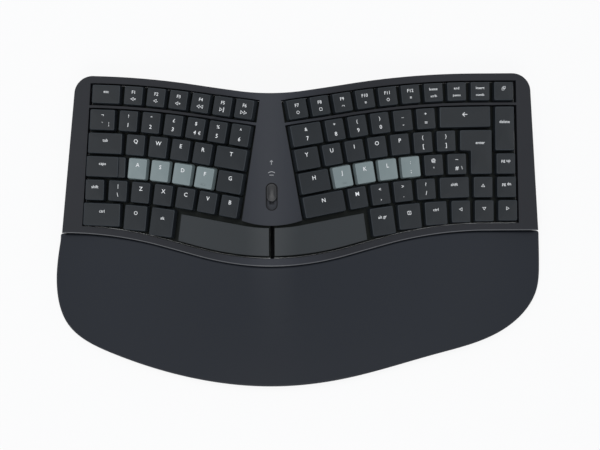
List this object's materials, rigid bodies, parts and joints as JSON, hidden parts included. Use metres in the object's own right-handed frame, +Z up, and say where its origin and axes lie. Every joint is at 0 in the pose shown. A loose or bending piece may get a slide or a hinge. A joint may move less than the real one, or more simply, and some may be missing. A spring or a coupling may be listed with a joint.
{
  "type": "keyboard",
  "caption": "Split wave-shaped keyboard with tented halves, low square keys, a cushioned palm rest and two fold-out rear legs.",
  "frame": {"origin": "centre of the footprint, on the desk", "axes": "+X along the keyboard to the right, +Y from the palm rest to the rear edge, +Z up"},
  "size_m": [0.4002, 0.2564, 0.0495],
  "materials": {
    "case": "fine matte texture",
    "keys": "satin",
    "home_keys": "satin",
    "palm_skin": "smooth soft touch",
    "palm_foam": "open foam",
    "palm_base": "matte",
    "plates": "plain",
    "housings": "plain",
    "boards": "satin",
    "ribbon": "satin",
    "socket": "plain",
    "battery": "satin",
    "knob": "satin",
    "feet": "matte",
    "legs": "matte",
    "screws": "plain"
  },
  "bodies": {
    "chassis": {"bottom_case": "case", "top_case": "case", "palm_base": "palm_base", "palm_foam": "palm_foam", "palm_cover": "palm_skin", "support_plate_left": "plates", "support_plate_right": "plates", "switch_housings_left": "housings", "switch_housings_right": "housings", "circuit_sheet_left": "boards", "circuit_sheet_right": "boards", "ribbon_cable": "ribbon", "controller_board": "boards", "usb_socket": "socket", "battery_pack": "battery", "mode_switch_body": "housings", "rubber_feet": "feet", "case_screws": "screws", "plate_screws": "screws"},
    "escape_key": {"escape_key": "keys"},
    "function_keys_left": {"function_keys_left": "keys"},
    "number_keys_left": {"number_keys_left": "keys"},
    "tab_key": {"tab_key": "keys"},
    "upper_keys_left": {"upper_keys_left": "keys"},
    "caps_key": {"caps_key": "keys"},
    "key_g": {"key_g": "keys"},
    "home_keys_left": {"home_keys_left": "home_keys"},
    "shift_key_left": {"shift_key_left": "keys"},
    "lower_keys_left": {"lower_keys_left": "keys"},
    "control_key_left": {"control_key_left": "keys"},
    "symbol_key": {"symbol_key": "keys"},
    "alt_key": {"alt_key": "keys"},
    "function_keys_right": {"function_keys_right": "keys"},
    "navigation_keys": {"navigation_keys": "keys"},
    "number_keys_right": {"number_keys_right": "keys"},
    "backspace_key": {"backspace_key": "keys"},
    "delete_key": {"delete_key": "keys"},
    "upper_keys_right": {"upper_keys_right": "keys"},
    "enter_key": {"enter_key": "keys"},
    "key_h": {"key_h": "keys"},
    "home_keys_right": {"home_keys_right": "home_keys"},
    "quote_keys": {"quote_keys": "keys"},
    "page_up_key": {"page_up_key": "keys"},
    "lower_keys_right": {"lower_keys_right": "keys"},
    "shift_key_right": {"shift_key_right": "keys"},
    "up_key": {"up_key": "keys"},
    "page_down_key": {"page_down_key": "keys"},
    "alt_gr_key": {"alt_gr_key": "keys"},
    "menu_key": {"menu_key": "keys"},
    "control_key_right": {"control_key_right": "keys"},
    "left_key": {"left_key": "keys"},
    "down_key": {"down_key": "keys"},
    "right_key": {"right_key": "keys"},
    "space_bar_left": {"space_bar_left": "keys"},
    "space_bar_right": {"space_bar_right": "keys"},
    "mode_switch_knob": {"mode_switch_knob": "knob"},
    "tilt_leg_left": {"tilt_leg_left": "legs", "leg_pad_left": "feet"},
    "tilt_leg_right": {"tilt_leg_right": "legs", "leg_pad_right": "feet"}
  },
  "joints": [
    {"name": "escape_key_press", "type": "slide", "parent": "chassis", "child": "escape_key", "axis": [0.0725, 0, -0.9974], "range_m": [0, 0.0028], "stiffness_N_per_m": 150, "springref_m": -0.003},
    {"name": "function_keys_left_press", "type": "slide", "parent": "chassis", "child": "function_keys_left", "axis": [0.2346, 0, -0.9721], "range_m": [0, 0.0028], "stiffness_N_per_m": 150, "springref_m": -0.003},
    {"name": "number_keys_left_press", "type": "slide", "parent": "chassis", "child": "number_keys_left", "axis": [0.2045, 0, -0.9789], "range_m": [0, 0.0028], "stiffness_N_per_m": 150, "springref_m": -0.003},
    {"name": "tab_key_press", "type": "slide", "parent": "chassis", "child": "tab_key", "axis": [0.0701, 0, -0.9975], "range_m": [0, 0.0028], "stiffness_N_per_m": 150, "springref_m": -0.003},
    {"name": "upper_keys_left_press", "type": "slide", "parent": "chassis", "child": "upper_keys_left", "axis": [0.2214, 0, -0.9752], "range_m": [0, 0.0028], "stiffness_N_per_m": 150, "springref_m": -0.003},
    {"name": "caps_key_press", "type": "slide", "parent": "chassis", "child": "caps_key", "axis": [0.0697, 0, -0.9976], "range_m": [0, 0.0028], "stiffness_N_per_m": 150, "springref_m": -0.003},
    {"name": "key_g_press", "type": "slide", "parent": "chassis", "child": "key_g", "axis": [0.3155, 0, -0.9489], "range_m": [0, 0.0028], "stiffness_N_per_m": 150, "springref_m": -0.003},
    {"name": "home_keys_left_press", "type": "slide", "parent": "chassis", "child": "home_keys_left", "axis": [0.2004, 0, -0.9797], "range_m": [0, 0.0028], "stiffness_N_per_m": 150, "springref_m": -0.003},
    {"name": "shift_key_left_press", "type": "slide", "parent": "chassis", "child": "shift_key_left", "axis": [0.0492, 0, -0.9988], "range_m": [0, 0.0028], "stiffness_N_per_m": 150, "springref_m": -0.003},
    {"name": "lower_keys_left_press", "type": "slide", "parent": "chassis", "child": "lower_keys_left", "axis": [0.2061, 0, -0.9785], "range_m": [0, 0.0028], "stiffness_N_per_m": 150, "springref_m": -0.003},
    {"name": "control_key_left_press", "type": "slide", "parent": "chassis", "child": "control_key_left", "axis": [0.0628, 0, -0.998], "range_m": [0, 0.0028], "stiffness_N_per_m": 150, "springref_m": -0.003},
    {"name": "symbol_key_press", "type": "slide", "parent": "chassis", "child": "symbol_key", "axis": [0.1296, 0, -0.9916], "range_m": [0, 0.0028], "stiffness_N_per_m": 150, "springref_m": -0.003},
    {"name": "alt_key_press", "type": "slide", "parent": "chassis", "child": "alt_key", "axis": [0.1828, 0, -0.9832], "range_m": [0, 0.0028], "stiffness_N_per_m": 150, "springref_m": -0.003},
    {"name": "function_keys_right_press", "type": "slide", "parent": "chassis", "child": "function_keys_right", "axis": [-0.2334, 0, -0.9724], "range_m": [0, 0.0028], "stiffness_N_per_m": 150, "springref_m": -0.003},
    {"name": "navigation_keys_press", "type": "slide", "parent": "chassis", "child": "navigation_keys", "axis": [-0.0299, 0, -0.9996], "range_m": [0, 0.0028], "stiffness_N_per_m": 150, "springref_m": -0.003},
    {"name": "number_keys_right_press", "type": "slide", "parent": "chassis", "child": "number_keys_right", "axis": [-0.211, 0, -0.9775], "range_m": [0, 0.0028], "stiffness_N_per_m": 150, "springref_m": -0.003},
    {"name": "backspace_key_press", "type": "slide", "parent": "chassis", "child": "backspace_key", "axis": [-0.0211, 0, -0.9998], "range_m": [0, 0.0028], "stiffness_N_per_m": 150, "springref_m": -0.003},
    {"name": "delete_key_press", "type": "slide", "parent": "chassis", "child": "delete_key", "axis": [0, 0, -1], "range_m": [0, 0.0028], "stiffness_N_per_m": 150, "springref_m": -0.003},
    {"name": "upper_keys_right_press", "type": "slide", "parent": "chassis", "child": "upper_keys_right", "axis": [-0.1934, 0, -0.9811], "range_m": [0, 0.0028], "stiffness_N_per_m": 150, "springref_m": -0.003},
    {"name": "enter_key_press", "type": "slide", "parent": "chassis", "child": "enter_key", "axis": [-0.0002, 0, -1], "range_m": [0, 0.0028], "stiffness_N_per_m": 150, "springref_m": -0.003},
    {"name": "key_h_press", "type": "slide", "parent": "chassis", "child": "key_h", "axis": [-0.3141, 0, -0.9494], "range_m": [0, 0.0028], "stiffness_N_per_m": 150, "springref_m": -0.003},
    {"name": "home_keys_right_press", "type": "slide", "parent": "chassis", "child": "home_keys_right", "axis": [-0.1948, 0, -0.9809], "range_m": [0, 0.0028], "stiffness_N_per_m": 150, "springref_m": -0.003},
    {"name": "quote_keys_press", "type": "slide", "parent": "chassis", "child": "quote_keys", "axis": [-0.0601, 0, -0.9982], "range_m": [0, 0.0028], "stiffness_N_per_m": 150, "springref_m": -0.003},
    {"name": "page_up_key_press", "type": "slide", "parent": "chassis", "child": "page_up_key", "axis": [0, 0, -1], "range_m": [0, 0.0028], "stiffness_N_per_m": 150, "springref_m": -0.003},
    {"name": "lower_keys_right_press", "type": "slide", "parent": "chassis", "child": "lower_keys_right", "axis": [-0.1917, 0, -0.9814], "range_m": [0, 0.0028], "stiffness_N_per_m": 150, "springref_m": -0.003},
    {"name": "shift_key_right_press", "type": "slide", "parent": "chassis", "child": "shift_key_right", "axis": [-0.0424, 0, -0.9991], "range_m": [0, 0.0028], "stiffness_N_per_m": 150, "springref_m": -0.003},
    {"name": "up_key_press", "type": "slide", "parent": "chassis", "child": "up_key", "axis": [0, 0, -1], "range_m": [0, 0.0028], "stiffness_N_per_m": 150, "springref_m": -0.003},
    {"name": "page_down_key_press", "type": "slide", "parent": "chassis", "child": "page_down_key", "axis": [0, 0, -1], "range_m": [0, 0.0028], "stiffness_N_per_m": 150, "springref_m": -0.003},
    {"name": "alt_gr_key_press", "type": "slide", "parent": "chassis", "child": "alt_gr_key", "axis": [-0.1841, 0, -0.9829], "range_m": [0, 0.0028], "stiffness_N_per_m": 150, "springref_m": -0.003},
    {"name": "menu_key_press", "type": "slide", "parent": "chassis", "child": "menu_key", "axis": [-0.131, 0, -0.9914], "range_m": [0, 0.0028], "stiffness_N_per_m": 150, "springref_m": -0.003},
    {"name": "control_key_right_press", "type": "slide", "parent": "chassis", "child": "control_key_right", "axis": [-0.0788, 0, -0.9969], "range_m": [0, 0.0028], "stiffness_N_per_m": 150, "springref_m": -0.003},
    {"name": "left_key_press", "type": "slide", "parent": "chassis", "child": "left_key", "axis": [-0.0301, 0, -0.9995], "range_m": [0, 0.0028], "stiffness_N_per_m": 150, "springref_m": -0.003},
    {"name": "down_key_press", "type": "slide", "parent": "chassis", "child": "down_key", "axis": [0, 0, -1], "range_m": [0, 0.0028], "stiffness_N_per_m": 150, "springref_m": -0.003},
    {"name": "right_key_press", "type": "slide", "parent": "chassis", "child": "right_key", "axis": [0, 0, -1], "range_m": [0, 0.0028], "stiffness_N_per_m": 150, "springref_m": -0.003},
    {"name": "space_bar_left_press", "type": "slide", "parent": "chassis", "child": "space_bar_left", "axis": [0.3029, 0, -0.953], "range_m": [0, 0.0028], "stiffness_N_per_m": 150, "springref_m": -0.003},
    {"name": "space_bar_right_press", "type": "slide", "parent": "chassis", "child": "space_bar_right", "axis": [-0.3034, 0, -0.9529], "range_m": [0, 0.0028], "stiffness_N_per_m": 150, "springref_m": -0.003},
    {"name": "mode_switch_slide", "type": "slide", "parent": "chassis", "child": "mode_switch_knob", "axis": [0, -1, 0], "range_m": [0, 0.0062]},
    {"name": "tilt_leg_left_fold", "type": "hinge", "parent": "chassis", "child": "tilt_leg_left", "pos_m": [-0.0797, 0.09765, 0.0042], "axis": [1, 0, 0], "range_deg": [0, 95]},
    {"name": "tilt_leg_right_fold", "type": "hinge", "parent": "chassis", "child": "tilt_leg_right", "pos_m": [0.0403, 0.09765, 0.0042], "axis": [1, 0, 0], "range_deg": [0, 95]}
  ]
}
